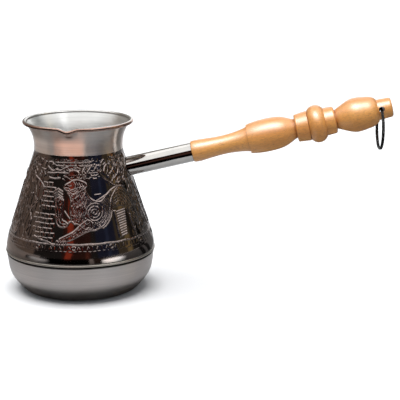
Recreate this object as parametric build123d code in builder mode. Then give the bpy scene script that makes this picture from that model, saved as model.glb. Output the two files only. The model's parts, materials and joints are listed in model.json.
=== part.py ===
"""A long-handled coffee pot (cezve) of spun copper, with a chromed ferrule, a turned beech handle and a ring.

Millimetres. +Z is up. The origin is the centre of the vessel's underside, on the plane that it stands on.
+X points along the handle, seen from above.
"""

import os
from math import cos, radians, sin, sqrt

from build123d import *

# Vessel, spun from copper sheet
WALL = 1.0
SEAM_Z = 24.5  # middle of the groove between the two halves
SEAM_GAP = 0.8  # height of that groove
SEAM_R = 46.8  # widest point, on the bead just above the groove
SEAM_BEAD_H = 1.6
LAP_BOTTOM_Z = 18.0  # lower end of the upper half's skirt, inside the cup
LAP_R_LOW = 44.3
LAP_R_HIGH = 45.1
BAND_R = 46.4  # plain band above the bead
RIM_Z = 106.2  # middle of the rolled rim
RIM_BEAD_R = 1.15
RIM_R = 33.0
NECK_R = 27.35
NECK_Z = 90.0
FOOT_R = 29.0  # flat underside
CUP_WALL = 1.1
CUP_TOP_FILLET = 0.4

# Pouring lip, pressed into the rim
LIP_AZIMUTH = -94.0
LIP_HALF_WIDTH = 6.2
LIP_DROP = 3.4
LIP_REACH = 35.6
LIP_ROOT_R = 27.0
LIP_ROOT_Z = 98.5
LIP_ROOT_HALF_WIDTH = 1.6
LIP_ROOT_DEPTH = 1.0
LIP_SKIN = 1.0  # thickness of the channel's wall
LIP_TOP_Z = RIM_Z + RIM_BEAD_R
MOUTH_CUT_H = 4.4  # clears what reaches into the mouth above the wall

# Handle, turned about one axis that rises away from the vessel
HANDLE_RISE = 13.3
HANDLE_Z = 70.3  # where the handle's axis would cross the vessel's axis
FERRULE_R = 6.0
FERRULE_BORE_R = 5.1
FERRULE_END = 72.7  # distances along the handle's axis are from the vessel's axis
SHOULDER_GAP = 0.1
WOOD_START = FERRULE_END + SHOULDER_GAP
TENON_START = 61.5
TENON_R = 5.0
WOOD_START_R = 6.4
WOOD_END = 198.1
WOOD_END_R = 6.0
WOOD_END_FILLET = 1.4
BODY_CLEARANCE = 0.3  # ferrule's saddle to the vessel

# Hidden fixing
BOSS_R = FERRULE_BORE_R - 0.2
BOSS_END = 38.0
STUD_R = 3.0  # M6 stud, drawn at its outer diameter
STUD_START = 33.5
STUD_END = 72.0
STUD_POCKET_END = 84.0
STUD_POCKET_R = 3.3
BOSS_CHAMFER = 0.5
STUD_CHAMFER = 0.6
FERRULE_END_FILLET = 0.2
INSERT_R = 3.9
INSERT_BORE_R = STUD_R + 0.05
INSERT_END = 78.0
INSERT_FLANGE_R = 4.7
INSERT_FLANGE_H = 1.0

# Hanging ring, two turns of round wire
HOLE_R = 1.8
HOLE_H = 190.9
HOLE_ROLL = 9.0  # turned up from level about the handle's axis
HOLE_SKEW = 3.0  # out of square with the handle's axis
WIRE_R = 0.45
TURN_PITCH = 0.92
RING_R = 12.55
RING_CHORD = 12.6  # stretch of wire inside the cross hole
HOLE_CUT = 19.0  # reach of the cross hole's cut to either side
JOG_START = 290.0  # where the wire crosses from one turn to the other, from the cross hole
JOG_SPAN = 24.0
JOG_GAP = 2.0

handle_dir = Vector(cos(radians(HANDLE_RISE)), 0, sin(radians(HANDLE_RISE)))
handle_origin = Vector(0, 0, HANDLE_Z)
handle_plane = Plane(origin=handle_origin, x_dir=handle_dir, z_dir=(0, -1, 0))
handle_axis = Axis(handle_origin, handle_dir)


def across_handle(distance):
    """Plane square to the handle's axis, this far along it."""
    return Plane(
        origin=handle_origin + handle_dir * distance, x_dir=(0, 1, 0), z_dir=handle_dir
    )


# ---- vessel profiles -------------------------------------------------------------------------

BODY_PROFILE = [
    (BAND_R, SEAM_Z + SEAM_GAP / 2 + SEAM_BEAD_H),
    (44.0, 38.0),
    (36.7, 60.0),
    (29.2, 83.0),
    (NECK_R, NECK_Z),
    (27.9, 96.0),
    (29.6, 101.8),
    (RIM_R - 0.2, RIM_Z - 0.1),
]
CUP_PROFILE = [(45.2, 16.5), (42.7, 9.3), (38.1, 3.6), (FOOT_R, 0)]
CUP_INSIDE = [(FOOT_R - CUP_WALL / 2, CUP_WALL), (37.3, 4.5), (41.7, 9.8), (44.05, 16.5)]


def shrunk(points, amount):
    """The same profile with every radius less by this amount."""
    return [(r - amount, z) for r, z in points]


def body_of_revolution(amount):
    """Solid bounded by the upper half's outer surface, less this amount in radius."""
    points = shrunk(BODY_PROFILE, amount)
    with BuildPart() as solid:
        with BuildSketch(Plane.XZ):
            with BuildLine():
                Spline(*points, tangents=[(0, 1), (1, 0.75)])
                Polyline(points[-1], (0, points[-1][1]), (0, points[0][1]), points[0])
            make_face()
        revolve(axis=Axis.Z)
    return solid.part


outer_body = body_of_revolution(0)
inner_body = body_of_revolution(WALL)
clearance_body = body_of_revolution(-BODY_CLEARANCE)

# ---- pouring lip: a rounded V channel that widens outwards -----------------------------------

lip_azimuth = radians(LIP_AZIMUTH)
lip_dir = Vector(cos(lip_azimuth), sin(lip_azimuth), 0)


def lip_channel(grow):
    """Solid under the channel's top plane, grown all round by this amount."""
    sections = [
        (LIP_ROOT_R, LIP_ROOT_HALF_WIDTH, LIP_ROOT_Z, LIP_ROOT_Z + LIP_ROOT_DEPTH),
        (LIP_REACH, LIP_HALF_WIDTH, LIP_TOP_Z - LIP_DROP, LIP_TOP_Z),
    ]
    with BuildPart() as channel:
        for reach, half_width, bottom, top in sections:
            side = half_width + grow
            plane = Plane(
                origin=lip_dir * reach, x_dir=lip_dir.cross(Vector(0, 0, -1)), z_dir=lip_dir
            )
            with BuildSketch(plane):
                with BuildLine():
                    ThreePointArc((-side, top), (0, bottom - grow), (side, top))
                    Line((side, top), (-side, top))
                make_face()
        loft()
    return channel.part


lip_outside = lip_channel(LIP_SKIN)
lip_inside = lip_channel(0)

# ---- vessel_body: upper half with its lap skirt, bead, rolled rim and lip ---------------------

bead_low = SEAM_Z + SEAM_GAP / 2
bead_high = bead_low + SEAM_BEAD_H
bead_r = SEAM_R - SEAM_BEAD_H / 2
with BuildPart() as vessel_body:
    with BuildSketch(Plane.XZ):
        with BuildLine():
            Polyline(
                (BAND_R - WALL, bead_high),
                (LAP_R_HIGH - WALL, bead_low),
                (LAP_R_LOW - WALL, LAP_BOTTOM_Z),
                (LAP_R_LOW, LAP_BOTTOM_Z),
                (LAP_R_HIGH, SEAM_Z - SEAM_GAP / 2),
                (LAP_R_HIGH, bead_low),
                (bead_r, bead_low),
            )
            ThreePointArc(
                (bead_r, bead_low), (SEAM_R, bead_low + SEAM_BEAD_H / 2), (bead_r, bead_high)
            )
            Line((bead_r, bead_high), (BAND_R - WALL, bead_high))
        make_face()
    revolve(axis=Axis.Z)
    add(outer_body)
    with BuildSketch(Plane.XZ):
        with Locations((RIM_R, RIM_Z)):
            Circle(RIM_BEAD_R)
    revolve(axis=Axis.Z)
    add(lip_outside)
    add(inner_body, mode=Mode.SUBTRACT)
    with BuildSketch(Plane.XY.offset(BODY_PROFILE[-1][1])):
        Circle(BODY_PROFILE[-1][0] - WALL)
    extrude(amount=MOUTH_CUT_H, mode=Mode.SUBTRACT)
    add(lip_inside, mode=Mode.SUBTRACT)
vessel_body.part.label = "vessel_body"

# ---- base_cup: lower half, its wall outside the skirt -----------------------------------------

cup_top = SEAM_Z - SEAM_GAP / 2
with BuildPart() as base_cup:
    with BuildSketch(Plane.XZ):
        with BuildLine():
            outer = Spline(
                (LAP_R_LOW + CUP_WALL, LAP_BOTTOM_Z),
                *CUP_PROFILE,
                tangents=[(LAP_R_LOW - LAP_R_HIGH, LAP_BOTTOM_Z - cup_top), (-1, 0)],
            )
            Polyline(outer @ 1, (0, 0), (0, CUP_WALL), CUP_INSIDE[0])
            Spline(
                *CUP_INSIDE,
                (LAP_R_LOW, LAP_BOTTOM_Z),
                tangents=[(1, 0), (LAP_R_HIGH - LAP_R_LOW, cup_top - LAP_BOTTOM_Z)],
            )
            Polyline(
                (LAP_R_LOW, LAP_BOTTOM_Z),
                (LAP_R_HIGH, cup_top),
                (LAP_R_HIGH + CUP_WALL, cup_top),
                outer @ 0,
            )
        make_face()
    revolve(axis=Axis.Z)
    fillet(base_cup.edges().group_by(Axis.Z)[-1].sort_by(SortBy.LENGTH)[-1], radius=CUP_TOP_FILLET)
base_cup.part.label = "base_cup"

# ---- handle_boss: brazed to the vessel, tapped for the stud -----------------------------------

with BuildPart() as handle_boss:
    with BuildSketch(across_handle(BOSS_END)):
        Circle(BOSS_R)
    extrude(amount=-(BOSS_END - NECK_R))
    chamfer(handle_boss.faces().sort_by(handle_axis)[-1].edges(), length=BOSS_CHAMFER)
    with BuildSketch(across_handle(STUD_START)):
        Circle(STUD_R)
    extrude(amount=BOSS_END - STUD_START, mode=Mode.SUBTRACT)
    add(outer_body, mode=Mode.SUBTRACT)
handle_boss.part.label = "handle_boss"

# ---- handle_stud ------------------------------------------------------------------------------

with BuildPart() as handle_stud:
    with BuildSketch(across_handle(STUD_START)):
        Circle(STUD_R)
    extrude(amount=STUD_END - STUD_START)
    chamfer(handle_stud.faces().sort_by(handle_axis)[-1].edges(), length=STUD_CHAMFER)
handle_stud.part.label = "handle_stud"

# ---- ferrule_tube: its inner end is saddle-cut to the vessel ----------------------------------

with BuildPart() as ferrule_tube:
    with BuildSketch(across_handle(NECK_R)):
        Circle(FERRULE_R)
        Circle(FERRULE_BORE_R, mode=Mode.SUBTRACT)
    extrude(amount=FERRULE_END - NECK_R)
    add(clearance_body, mode=Mode.SUBTRACT)
    fillet(ferrule_tube.faces().sort_by(handle_axis)[-1].edges(), radius=FERRULE_END_FILLET)
ferrule_tube.part.label = "ferrule_tube"

# ---- threaded_insert: brass, pressed into the handle ------------------------------------------

with BuildPart() as threaded_insert:
    with BuildSketch(across_handle(TENON_START - INSERT_FLANGE_H)):
        Circle(INSERT_FLANGE_R)
        Circle(INSERT_BORE_R, mode=Mode.SUBTRACT)
    extrude(amount=INSERT_FLANGE_H)
    with BuildSketch(across_handle(TENON_START)):
        Circle(INSERT_R)
        Circle(INSERT_BORE_R, mode=Mode.SUBTRACT)
    extrude(amount=INSERT_END - TENON_START)
threaded_insert.part.label = "threaded_insert"

# ---- wood_handle: one turned piece with a tenon, two barrels and three rings ------------------

# Radius at distances along the handle's axis
FRONT_GRIP = [(WOOD_START, WOOD_START_R), (79, 6.6), (91.5, 5.8), (102, 6.5), (108.3, 7.9)]
FRONT_BARREL = [(108.3, 8.95), (122, 10.2), (131, 9.0), (138.0, 5.9)]
RING_BEFORE = [FRONT_BARREL[-1], (138.4, 8.5), (146.2, 9.3), (146.2, 8.6)]
MIDDLE_TORUS = [RING_BEFORE[-1], (151.4, 11.65), (156.6, 8.6)]
RING_AFTER = [MIDDLE_TORUS[-1], (162.6, 8.35), (163.2, 5.8)]
REAR_BARREL = [RING_AFTER[-1], (168.6, 8.4), (174.6, 10.45), (182, 9.9), (187.0, 8.6), (189.3, 6.4)]
RING_FILLET = 1.0
RING_EDGE_FILLET = 0.3

hole_center = handle_origin + handle_dir * HOLE_H
hole_dir = Vector(0, -1, 0).rotate(Axis.X, -HOLE_ROLL).rotate(Axis.Z, HOLE_SKEW)
with BuildPart() as wood_handle:
    with BuildSketch(handle_plane):
        with BuildLine():
            Polyline(
                (TENON_START, INSERT_R), (TENON_START, TENON_R), (WOOD_START, TENON_R), FRONT_GRIP[0]
            )
            Spline(*FRONT_GRIP, tangents=[(1, 0.3), (1, 0.35)])
            Line(FRONT_GRIP[-1], FRONT_BARREL[0])
            Spline(*FRONT_BARREL, tangents=[(1, 0.25), (1, -0.35)])
            FilletPolyline(*RING_BEFORE, radius=(RING_FILLET, RING_EDGE_FILLET))
            ThreePointArc(*MIDDLE_TORUS)
            FilletPolyline(*RING_AFTER, radius=(RING_FILLET,))
            Spline(*REAR_BARREL, tangents=[(1, 0.5), (0.35, -1)])
            FilletPolyline(
                REAR_BARREL[-1], (WOOD_END, WOOD_END_R), (WOOD_END, 0), radius=(WOOD_END_FILLET,)
            )
            Polyline(
                (WOOD_END, 0),
                (STUD_POCKET_END, 0),
                (STUD_POCKET_END, STUD_POCKET_R),
                (INSERT_END, STUD_POCKET_R),
                (INSERT_END, INSERT_R),
                (TENON_START, INSERT_R),
            )
        make_face()
    revolve(axis=handle_axis)
    with BuildSketch(Plane(origin=hole_center, z_dir=hole_dir)):
        Circle(HOLE_R)
    extrude(amount=HOLE_CUT, both=True, mode=Mode.SUBTRACT)
wood_handle.part.label = "wood_handle"

# ---- split_ring: two flat turns joined by a jog -----------------------------------------------

sagitta = RING_R - sqrt(RING_R**2 - (RING_CHORD / 2) ** 2)
hang_dir = (Vector(0, 0, -1) + hole_dir * hole_dir.Z).normalized()
ring_plane = Plane(
    origin=hole_center + hang_dir * (RING_R - sagitta / 2),
    x_dir=-hang_dir,
    z_dir=hole_dir.cross(hang_dir),
)
near_turn = ring_plane.offset(-TURN_PITCH / 2)
far_turn = ring_plane.offset(TURN_PITCH / 2)


def on_turn(plane, angle):
    """Point and direction of travel on a turn, at this angle from the cross hole."""
    a = radians(angle)
    point = plane.from_local_coords(Vector(RING_R * cos(a), RING_R * sin(a), 0))
    travel = plane.x_dir * -sin(a) + plane.y_dir * cos(a)
    return point, travel


jog_end = JOG_START + JOG_SPAN
jog_from, jog_from_dir = on_turn(near_turn, JOG_START)
jog_mid, jog_mid_dir = on_turn(ring_plane, JOG_START + JOG_SPAN / 2)
jog_to, jog_to_dir = on_turn(far_turn, jog_end)
with BuildPart() as split_ring:
    with BuildLine() as wire:
        start_angle = jog_end + JOG_GAP - 360
        with BuildLine(near_turn):
            CenterArc((0, 0), RING_R, start_angle, JOG_START - start_angle)
        Spline(jog_from, jog_mid, jog_to, tangents=[jog_from_dir, jog_to_dir])
        with BuildLine(far_turn):
            CenterArc((0, 0), RING_R, jog_end, 360 - JOG_SPAN - JOG_GAP)
    start_point, start_dir = on_turn(near_turn, start_angle)
    with BuildSketch(Plane(origin=start_point, z_dir=start_dir)):
        Circle(WIRE_R)
    sweep(path=wire.wires()[0])
split_ring.part.label = "split_ring"

# ---- files ------------------------------------------------------------------------------------

PIECES = [
    vessel_body,
    base_cup,
    handle_boss,
    handle_stud,
    ferrule_tube,
    threaded_insert,
    wood_handle,
    split_ring,
]

os.makedirs("parts", exist_ok=True)
for piece in PIECES:
    export_step(piece.part, f"parts/{piece.part.label}.step")
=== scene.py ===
"""Looks of the long-handled coffee pot: embossed and brushed copper, chromed ferrule, lacquered beech.

The vessel's profile is read off the CAD nodes. The relief is drawn here, stroke by stroke, on a grid that
wraps round the vessel, and becomes real geometry. Lengths on the pot are millimetres until a mesh is made;
materials, camera and studio are in metres.
"""

import json
from math import asin, cos, pi, radians, sin

import bpy
import numpy as np
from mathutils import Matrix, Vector
from mathutils.bvhtree import BVHTree


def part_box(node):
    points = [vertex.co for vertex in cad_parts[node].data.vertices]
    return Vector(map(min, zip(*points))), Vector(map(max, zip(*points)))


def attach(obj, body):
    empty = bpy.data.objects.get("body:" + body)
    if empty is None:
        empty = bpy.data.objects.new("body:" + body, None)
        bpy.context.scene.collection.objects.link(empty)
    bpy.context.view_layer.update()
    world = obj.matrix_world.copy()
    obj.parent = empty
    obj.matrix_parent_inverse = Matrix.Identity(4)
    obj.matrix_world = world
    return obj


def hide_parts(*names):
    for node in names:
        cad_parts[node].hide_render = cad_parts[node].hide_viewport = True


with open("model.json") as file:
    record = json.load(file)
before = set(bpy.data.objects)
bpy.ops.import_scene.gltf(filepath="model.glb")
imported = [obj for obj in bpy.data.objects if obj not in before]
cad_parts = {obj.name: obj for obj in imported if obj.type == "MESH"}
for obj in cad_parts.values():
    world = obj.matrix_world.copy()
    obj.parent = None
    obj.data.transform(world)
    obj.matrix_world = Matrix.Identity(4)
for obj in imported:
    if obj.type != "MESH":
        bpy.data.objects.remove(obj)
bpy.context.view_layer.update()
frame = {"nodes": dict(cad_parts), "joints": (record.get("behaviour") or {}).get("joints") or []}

MM = 0.001
JOINT_AXES = {joint["name"]: Vector(joint["axis"]) for joint in frame["joints"]}
ALONG_HANDLE = (0, asin(JOINT_AXES["ferrule_slide"].z), 0)  # lays x along the handle

# Camera, at the photograph's viewing angle
CAMERA_AZIMUTH = 1.84
CAMERA_PITCH = 13.77
CAMERA_LENS = 116.43  # millimetres, as is the sensor
CAMERA_SENSOR = 36
CAMERA_DISTANCE = 0.8087
CAMERA_TARGET = (0.07544, 0, 0.05622)
FRONT = CAMERA_AZIMUTH - 90  # azimuth of the vessel's side that faces the camera

# Heights on the vessel where one finish ends and the next starts
NECK_LOW = 89.3
BELT_LOW = 33.2
BEAD_TOP = 26.5
BEAD_LOW = 24.9
FERRULE_FOOT_Z = 77.6  # where the ferrule's axis meets the wall
FERRULE_FOOT_R = 6.4  # no relief nearer
FERRULE_FOOT_FADE = 1.4
BELT_FADE = 0.8  # over which the relief sinks away at the belt's edges
GROOVE_SHADE_REACH = 0.2  # how far the groove's painted shade reaches up the bead
LINING_LOW = 27.5
RIM_BEAD_R = 1.15
RIM_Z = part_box("vessel_body")[1][2] / MM - RIM_BEAD_R
RIM_R = 33.0

# Pouring lip
LIP_AZIMUTH = -94.0
LIP_HALF_WIDTH = 6.4
LIP_DROP = 1.5
LIP_REACH = 1.5
LIP_FOOT_Z = 98.5
LIP_SHARPNESS = 0.45  # 0 is a round dip, 1 a straight-sided V

# Painted shade on the neck: a dark patch under the lip, and darkening toward the top that is strongest at
# the left
LIP_SHADE_Z = 102.0
LIP_SHADE_HALF_WIDTH = 3.2
LIP_SHADE_HALF_HEIGHT = 1.3
TOP_SHADE_LOW = 95.5
TOP_SHADE_FADE = 5.5
TOP_SHADE_STRENGTH = 0.55
TOP_SHADE_AT_RIGHT = 0.25  # of its strength at the left
TOP_SHADE_SIDE = 25  # degrees either side of the front over which it weakens

# Grids
AROUND = 1152
BELT_ROWS = 230
BELT_PIECES = 4
PLAIN_AROUND = 480  # columns of the pieces without relief
NECK_ROWS = 60
LINING_ROWS = 90
BAND_ROWS = 24
BEAD_ROWS = 13
RIM_SIDES = 24
PROFILE_KNOTS = 15

# Relief
FINENESS = 0.72  # of every tool mark
RIDGE_WIDTH = 0.42
FULL_RUB = 0.4  # height of a ridge that is rubbed through to bright copper
SIDE_LIMIT = 0.12  # cosine of the angle from a panel's middle where its drawing ends
SIDE_FADE = 0.2
PLATE_MARGIN = 1.5
HAIR_LENGTH = 3.0
HAIR_SPACING = 0.7
HAIR_WIDTH = 0.5  # in spreads of the random field
HAIR_HEIGHT = 0.12
HAIR_RUB = 0.8
WINDING_WIDTH = 0.42  # in spreads of the random field
FIELD_SOFTNESS = 2.2  # how sharply a random field's finer waves are cut off
EVERYWHERE = slice(None)

rng = np.random.default_rng(11)


# ---- reading the CAD surfaces ----


def surface_of(node):
    """Ray-casting tree of a CAD node."""
    mesh = frame["nodes"][node].data
    return BVHTree.FromPolygons([v.co for v in mesh.vertices], [p.vertices for p in mesh.polygons])


def radius_from_outside(tree, z):
    hit = tree.ray_cast(Vector((0, 0.2, z * MM)), Vector((0, -1, 0)))[0]
    return hit.y / MM


def radius_from_inside(tree, z):
    hit = tree.ray_cast(Vector((0, 0, z * MM)), Vector((0, 1, 0)))[0]
    return hit.y / MM


def smooth_curve(xs, ys):
    """Natural cubic spline through these points, as a function that takes an array."""
    xs, ys = np.array(xs, float), np.array(ys, float)
    n, step = len(xs), np.diff(xs)
    matrix, right = np.eye(n), np.zeros(n)
    for i in range(1, n - 1):
        matrix[i, i - 1 : i + 2] = step[i - 1], 2 * (step[i - 1] + step[i]), step[i]
        right[i] = 6 * ((ys[i + 1] - ys[i]) / step[i] - (ys[i] - ys[i - 1]) / step[i - 1])
    bend = np.linalg.solve(matrix, right)

    def curve(x):
        x = np.asarray(x, float)
        i = np.clip(np.searchsorted(xs, x) - 1, 0, n - 2)
        h, a, b = step[i], xs[i + 1] - x, x - xs[i]
        return (
            (bend[i] * a**3 + bend[i + 1] * b**3) / (6 * h)
            + (ys[i] / h - bend[i] * h / 6) * a
            + (ys[i + 1] / h - bend[i + 1] * h / 6) * b
        )

    return curve


vessel_tree = surface_of("vessel_body")
bead_r = radius_from_outside(vessel_tree, (BEAD_TOP + BEAD_LOW) / 2)
groove_r = radius_from_outside(vessel_tree, BEAD_LOW - 0.4)
skirt_z = BEAD_LOW - 0.9
skirt_inner_r = radius_from_inside(vessel_tree, skirt_z)
wall_knots = np.linspace(BEAD_TOP + 0.3, RIM_Z - RIM_BEAD_R - 0.3, PROFILE_KNOTS)
wall_r = smooth_curve(wall_knots, [radius_from_outside(vessel_tree, z) for z in wall_knots])
lining_knots = np.linspace(LINING_LOW, RIM_Z - 0.6, PROFILE_KNOTS)
lining_r = smooth_curve(lining_knots, [radius_from_inside(vessel_tree, z) for z in lining_knots])


# ---- meshes ----


def wrapped(angle):
    """Angle in degrees, brought to -180...180."""
    return (angle + 180) % 360 - 180


def smoothstep(x):
    x = np.clip(x, 0, 1)
    return x * x * (3 - 2 * x)


def grid_normals(points, closed):
    """Outward unit normals of a grid of points, rows by columns."""
    if closed:
        around = np.roll(points, -1, 1) - np.roll(points, 1, 1)
    else:
        around = np.gradient(points, axis=1)
    normals = np.cross(around, np.gradient(points, axis=0))
    return normals / np.maximum(np.linalg.norm(normals, axis=2, keepdims=True), 1e-12)


def in_scene(name, data):
    """A new object with this data."""
    made = bpy.data.objects.new(name, data)
    bpy.context.scene.collection.objects.link(made)
    return made


def grid_piece(name, points, normals=None, closed=True, values=None):
    """Smooth mesh from a grid of points in millimetres; closed joins the last column to the first."""
    rows, columns = points.shape[:2]
    index = np.arange(rows * columns).reshape(rows, columns)
    across = np.roll(index, -1, 1) if closed else index[:, 1:]
    here = index if closed else index[:, :-1]
    faces = np.stack([here[:-1], across[:-1], across[1:], here[1:]], -1).reshape(-1, 4)
    mesh = bpy.data.meshes.new(name)
    mesh.from_pydata((points.reshape(-1, 3) * MM).tolist(), [], faces.tolist())
    for key, value in (values or {}).items():
        layer = mesh.attributes.new(key, "FLOAT", "POINT")
        layer.data.foreach_set("value", value.reshape(-1).astype(np.float32))
    mesh.polygons.foreach_set("use_smooth", np.ones(len(mesh.polygons), bool))
    mesh.update()
    if normals is not None:
        mesh.normals_split_custom_set_from_vertices(normals.reshape(-1, 3).tolist())
    return in_scene(name, mesh)


def finish_piece(piece, body, slot, mat, *nodes):
    """Material, body and the CAD nodes that the piece stands for. The slot is not used."""
    piece.data.materials.clear()
    piece.data.materials.append(mat)
    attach(piece, body)
    if nodes:
        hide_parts(*nodes)


def lip_weight(azimuth):
    """1 in the middle of the pouring lip, 0 away from it."""
    arc = np.radians(np.abs(wrapped(azimuth - LIP_AZIMUTH))) * RIM_R
    away = np.clip(arc / LIP_HALF_WIDTH, 0, 1)
    return LIP_SHARPNESS * (1 - away) + (1 - LIP_SHARPNESS) / 2 * (1 + np.cos(pi * away))


def lathed(radii, heights, azimuths):
    """Grid of points on a surface of revolution."""
    a = np.radians(azimuths)[None, :]
    r = np.asarray(radii)[:, None]
    z = np.asarray(heights)[:, None] + 0 * a
    return np.stack([r * np.cos(a), r * np.sin(a), z], -1)


def press_lip(points):
    """Pushes the upper wall out and down where the pouring lip is."""
    azimuth = np.degrees(np.arctan2(points[..., 1], points[..., 0]))
    rise = smoothstep((points[..., 2] - LIP_FOOT_Z) / (RIM_Z - LIP_FOOT_Z))
    amount = lip_weight(azimuth) * rise
    a = np.radians(azimuth)
    moved = points.copy()
    moved[..., 0] += LIP_REACH * amount * np.cos(a)
    moved[..., 1] += LIP_REACH * amount * np.sin(a)
    moved[..., 2] -= LIP_DROP * amount
    return moved


# ---- relief ----


def smooth_line(points, steps=6):
    """Catmull-Rom line through given points."""
    p = np.array(points, float)
    if len(p) < 3:
        return p
    p = np.vstack([2 * p[0] - p[1], p, 2 * p[-1] - p[-2]])
    t = np.linspace(0, 1, steps, endpoint=False)[:, None]
    line = []
    for a, b, c, d in zip(p, p[1:], p[2:], p[3:]):
        square = 2 * a - 5 * b + 4 * c - d
        cube = 3 * b - a - 3 * c + d
        line.append(0.5 * (2 * b + (c - a) * t + square * t**2 + cube * t**3))
    return np.vstack(line + [p[-2:-1]])


class Relief:
    """Height of the embossing over the belt, drawn panel by panel as seen square on from its middle.

    Ridge is how far the patina is rubbed through, 0 to 1.
    """

    def __init__(self, azimuths, heights, radii):
        self.azimuth, self.z = np.meshgrid(azimuths, heights)
        self.r = np.repeat(radii[:, None], len(azimuths), 1)
        self.height = np.zeros_like(self.z)
        self.ridge = np.zeros_like(self.z)
        self.face(FRONT)

    def face(self, middle, mirrored=False):
        """Draw the next strokes on the panel with this middle."""
        turn = np.radians(wrapped(self.azimuth - middle))
        self.x = self.r * np.sin(turn) * (-1 if mirrored else 1)
        self.facing = np.cos(turn)
        self.seen = self.facing > SIDE_LIMIT

    def near(self, line, margin):
        low, high = line.min(0) - margin, line.max(0) + margin
        return self.seen & (self.x > low[0]) & (self.x < high[0]) & (self.z > low[1]) & (self.z < high[1])

    def distance(self, line, where):
        """Distance from the grid's points to a line."""
        x, z = self.x[where], self.z[where]
        best = np.full(x.shape, 1e9)
        for a, b in zip(line, line[1:]):
            d = b - a
            t = np.clip(((x - a[0]) * d[0] + (z - a[1]) * d[1]) / max(d @ d, 1e-9), 0, 1)
            best = np.minimum(best, np.hypot(x - a[0] - t * d[0], z - a[1] - t * d[1]))
        return best

    def raise_to(self, where, height, ridge):
        self.height[where] = np.maximum(self.height[where], height)
        self.ridge[where] = np.maximum(self.ridge[where], ridge)

    def stroke(self, points, width=RIDGE_WIDTH, height=0.34, smooth=True):
        """A rounded ridge along a line."""
        width = width * FINENESS
        line = smooth_line(points) if smooth else np.array(points, float)
        where = self.near(line, 3 * width)
        if where.any():
            shape = np.exp(-((self.distance(line, where) / width) ** 2))
            self.raise_to(where, height * shape, min(1, height / FULL_RUB) * shape)

    def inside(self, line, where):
        x, z = self.x[where], self.z[where]
        odd = np.zeros(x.shape, bool)
        for a, b in zip(line, np.roll(line, -1, 0)):
            crosses = (a[1] > z) != (b[1] > z)
            at = a[0] + (z - a[1]) * (b[0] - a[0]) / np.where(b[1] == a[1], 1e-9, b[1] - a[1])
            odd ^= crosses & (x < at)
        return odd

    def plate(self, points, height=0.16, edge=0.35, outline=0.0, smooth=True, rubbed=0.3, hair=None):
        """A raised area with a soft edge.

        Outline is the height of a ridge round it. Hair is the seed of fine lines inside it.
        """
        line = smooth_line(points + points[:1]) if smooth else np.array(points + points[:1], float)
        where = self.near(line, PLATE_MARGIN)
        if not where.any():
            return
        away = self.distance(line, where)
        depth = np.where(self.inside(line[:-1], where), away, -away)
        shape = smoothstep(0.5 + depth / edge / 2)
        self.raise_to(where, height * shape, rubbed * shape)
        if hair:
            mask = np.zeros_like(self.z)
            mask[where] = shape
            lines = np.exp(-((self.field(hair, HAIR_LENGTH, HAIR_SPACING) / HAIR_WIDTH) ** 2)) * mask
            self.height += HAIR_HEIGHT * lines
            self.ridge = np.maximum(self.ridge, HAIR_RUB * lines)
        if outline:
            shape = np.exp(-((away / (RIDGE_WIDTH * FINENESS)) ** 2))
            self.raise_to(where, outline * shape, shape)

    def field(self, seed, along, across):
        """Smooth random field with a spread of 1, periodic round the vessel.

        Along and across are the lengths of its features, up the wall and round it.
        """
        rows, columns = self.z.shape
        noise = np.random.default_rng(seed).standard_normal((rows * 2, columns))
        row_step = abs(self.z[1, 0] - self.z[0, 0])
        column_step = radians(360 / columns) * self.r.mean()
        fz = np.fft.fftfreq(rows * 2, row_step)[:, None]
        fx = np.fft.fftfreq(columns, column_step)[None, :]
        keep = np.exp(-FIELD_SOFTNESS * ((fz * along) ** 2 + (fx * across) ** 2))
        field = np.fft.ifft2(np.fft.fft2(noise) * keep).real[:rows]
        return field / field.std()

    def crinkle(self, mask, seed, along, across, height=0.3, rubbed=1.0):
        """Winding ridges where a random field crosses zero, as tall as the mask allows."""
        shape = np.exp(-((self.field(seed, along, across) / WINDING_WIDTH) ** 2)) * np.clip(mask, 0, 1)
        self.raise_to(EVERYWHERE, height * shape, rubbed * shape)

    def wear(self, seed, middle=0.72, spread=0.34, patch=1.6, dullest=0.15):
        """Uneven rubbing: some lengths of the ridges are polished bright and others stay dull."""
        self.ridge *= np.clip(middle + spread * self.field(seed, patch, patch), dullest, 1)

    def window(self, left, right, low, high, soft=1.6):
        """1 inside this part of the panel, falling to 0 over its soft edge."""
        sides = smoothstep((self.x - left) / soft) * smoothstep((right - self.x) / soft)
        ends = smoothstep((self.z - low) / soft) * smoothstep((high - self.z) / soft)
        return sides * ends * smoothstep((self.facing - SIDE_LIMIT) / SIDE_FADE)


BEAST_BODY = [
    (5.5, 72.0), (7.4, 68.0), (9.2, 65.2), (11.7, 63.3), (14.2, 62.6), (16.4, 63.0), (18.4, 65.4),
    (21.6, 68.6), (25.2, 70.0), (23.6, 67.6), (21.6, 63.6), (21.0, 58.0), (20.2, 53.0), (17.8, 49.2),
    (13.5, 46.8), (10.4, 46.6), (6.0, 47.6), (2.4, 50.4), (0.0, 50.6), (-1.6, 53.2), (-2.2, 58.0),
    (-1.8, 63.0), (-2.6, 66.4), (-3.6, 69.0),
]
BEAST_CHEST = [
    (-1.8, 67.0), (3.0, 69.6), (6.4, 68.4), (8.2, 64.0), (7.0, 58.0), (6.0, 51.6), (2.4, 51.0),
    (-1.0, 53.4), (-1.8, 58.0),
]
BEAST_HEAD = [
    (-3.4, 67.9), (-3.0, 69.2), (-5.2, 69.8), (-6.0, 71.4), (-4.6, 73.0), (-2.4, 74.2), (-1.0, 75.2),
    (1.6, 75.6), (4.4, 74.8), (6.6, 73.6), (7.4, 72.0), (6.2, 70.6), (3.6, 69.0), (0.0, 67.4),
]
BEAST_TAIL = [
    (21.8, 64.0), (23.6, 67.6), (25.2, 70.0), (28.6, 68.0), (32.2, 62.6), (35.0, 56.0), (36.6, 49.0),
    (34.6, 47.0), (31.4, 54.6), (27.4, 58.4), (22.2, 58.6),
]
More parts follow.
